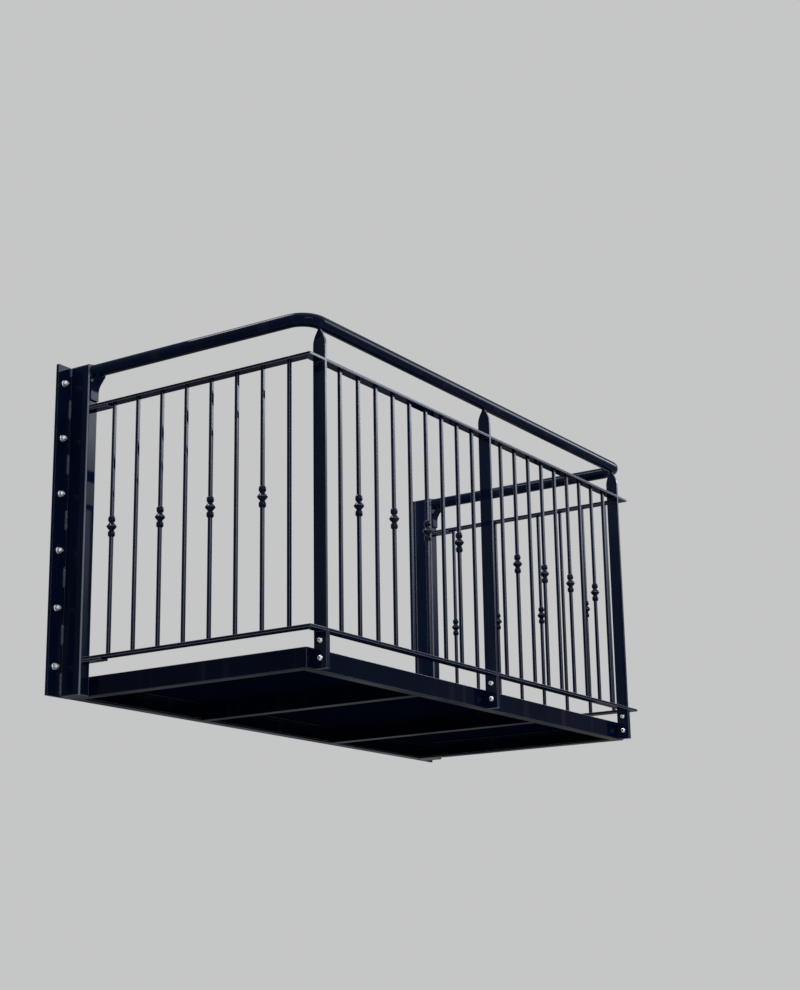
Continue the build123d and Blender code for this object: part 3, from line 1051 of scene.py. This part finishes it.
def grade(lamp, stops):
    """Grade a lamp from its lower to its upper edge by (height, strength) stops."""
    if lamp.data.node_tree is None:
        lamp.data.use_nodes = True
    tree = lamp.data.node_tree
    emission = next(item for item in tree.nodes if item.type == "EMISSION")
    place = add(tree, "ShaderNodeNewGeometry").outputs["Parametric"]
    parts = add(tree, "ShaderNodeSeparateXYZ", {"Vector": place})
    ramp = add(tree, "ShaderNodeValToRGB", {0: parts.outputs["Y"]})
    band = ramp.color_ramp
    while len(band.elements) < len(stops):
        band.elements.new(0.5)
    for element, (position, strength) in zip(band.elements, stops):
        element.position = position
        element.color = (strength, strength, strength, 1)
    fill(tree, emission, {"Strength": ramp.outputs[0]})


def seen(tree):
    """1 for rays that show the background to the camera, straight or by way of a shiny surface or glass."""
    rays = add(tree, "ShaderNodeLightPath").outputs
    mirrored = math_node(tree, "MAXIMUM", rays["Is Camera Ray"], rays["Is Glossy Ray"])
    return math_node(tree, "MAXIMUM", mirrored, rays["Is Transmission Ray"])


def studio_floor(studio):
    """A wide pale floor that fades into the backdrop far from the balcony."""
    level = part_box("front_beam")[0].z - studio.floor_drop
    reach = FLOOR_REACH
    corners = [(-reach, -reach), (reach, -reach), (reach, reach), (-reach, reach)]
    floor = link("studio_floor", prism("studio_floor", corners, level - FLOOR_THICKNESS, level))
    material, tree, shader = new_material("studio_floor")
    fill(tree, shader, {"Base Color": FLOOR_TONE, "Roughness": 0.9, "Specular IOR Level": 0.1})
    away = add(tree, "ShaderNodeVectorMath", {0: object_place(tree)}, operation="LENGTH").outputs["Value"]
    far = times(tree, remap(tree, away, *FLOOR_FADE, 0, 1), seen(tree))
    glow = add(tree, "ShaderNodeEmission", {"Color": BACKDROP_TINT, "Strength": studio.backdrop})
    faded = add(tree, "ShaderNodeMixShader", {0: far, 1: shader.outputs[0], 2: glow.outputs[0]})
    fill(tree, tree.nodes["Material Output"], {"Surface": faded.outputs[0]})
    floor.data.materials.append(material)


def studio_world(scene, studio):
    """An even glow that lights the balcony at one strength and shows behind it at another."""
    world = scene.world or bpy.data.worlds.new("studio")
    scene.world = world
    world.use_nodes = True
    tree = world.node_tree
    tree.nodes.clear()
    strength = remap(tree, seen(tree), 0, 1, studio.ambient, studio.backdrop)
    glow = add(tree, "ShaderNodeBackground", {"Color": BACKDROP_TINT, "Strength": strength})
    add(tree, "ShaderNodeOutputWorld", {"Surface": glow.outputs[0]})


def studio_lamps(studio):
    """A soft lamp overhead, the tall graded key, a strip over the left side and a fill at the camera."""
    centre = Vector((0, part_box("handrail")[0].y / 2, 0.5))
    area_lamp("overhead", centre + Vector((0, -0.5, 4.0)), centre, 6.0, 6.0, studio.overhead)
    low, high = (KEY_DISTANCE * math.tan(math.radians(angle)) for angle in KEY_RISE)
    aim = centre + UP * (low + high) / 2
    place = aim + Vector(KEY_WAY).normalized() * KEY_DISTANCE
    grade(area_lamp("key", place, aim, KEY_WIDTH, high - low, studio.key, KEY_TINT), KEY_GRADE)
    area_lamp("strip", (-1.3, 1.0, 4.5), (-1.3, 0.2, 0), 1.3, 1.6, studio.strip)
    area_lamp("fill", centre + Vector((-5.2, -8.0, 3.6)), centre, 5.0, 3.0, studio.fill)


def photo_camera(scene):
    """A camera at the photograph's viewpoint."""
    data = bpy.data.cameras.new("photo_view")
    data.sensor_width = CAMERA_SENSOR
    data.lens = CAMERA_LENS
    data.clip_end = CAMERA_CLIP
    camera = link("photo_view", data)
    camera.location = CAMERA_PLACE
    camera.rotation_euler = [math.radians(angle) for angle in CAMERA_TURN]
    scene.camera = camera


class BALCONY_OT_studio(bpy.types.Operator):
    """Set the floor, the backdrop, the lamps and the camera"""

    bl_idname = "balcony.studio"
    bl_label = "Studio"

    def execute(self, context):
        scene = context.scene
        scene.view_settings.view_transform = "Standard"
        studio_floor(scene.balcony_studio)
        studio_world(scene, scene.balcony_studio)
        studio_lamps(scene.balcony_studio)
        photo_camera(scene)
        return {"FINISHED"}


class BALCONY_PT_sidebar(bpy.types.Panel):
    """Sidebar panel with the steps in order"""

    bl_label = "Step-out Balcony"
    bl_idname = "BALCONY_PT_sidebar"
    bl_space_type = "VIEW_3D"
    bl_region_type = "UI"
    bl_category = "Balcony"

    def draw(self, context):
        column = self.layout.column()
        for step in STEPS:
            column.operator(step.bl_idname)
        for group in ("balcony_sizes", "balcony_finish", "balcony_studio"):
            settings = getattr(context.scene, group)
            box = self.layout.box()
            for name in settings.__annotations__:
                box.prop(settings, name)


GROUPS = (BalconySizes, BalconyFinish, BalconyStudio)
STEPS = (
    BALCONY_OT_steelwork, BALCONY_OT_handrail, BALCONY_OT_panels, BALCONY_OT_fasteners, BALCONY_OT_welds,
    BALCONY_OT_studio)
CLASSES = GROUPS + STEPS + (BALCONY_PT_sidebar,)


def register():
    """Register the classes and hang the property groups on the scene."""
    for item in CLASSES:
        bpy.utils.register_class(item)
    bpy.types.Scene.balcony_sizes = PointerProperty(type=BalconySizes)
    bpy.types.Scene.balcony_finish = PointerProperty(type=BalconyFinish)
    bpy.types.Scene.balcony_studio = PointerProperty(type=BalconyStudio)


def unregister():
    """Undo what register did."""
    del bpy.types.Scene.balcony_studio
    del bpy.types.Scene.balcony_finish
    del bpy.types.Scene.balcony_sizes
    for item in reversed(CLASSES):
        bpy.utils.unregister_class(item)


def main():
    """Make every piece and the studio."""
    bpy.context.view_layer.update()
    register()
    bpy.ops.balcony.steelwork()
    bpy.ops.balcony.handrail()
    bpy.ops.balcony.panels()
    bpy.ops.balcony.fasteners()
    bpy.ops.balcony.welds()
    bpy.ops.balcony.studio()


if __name__ == "__main__":
    main()
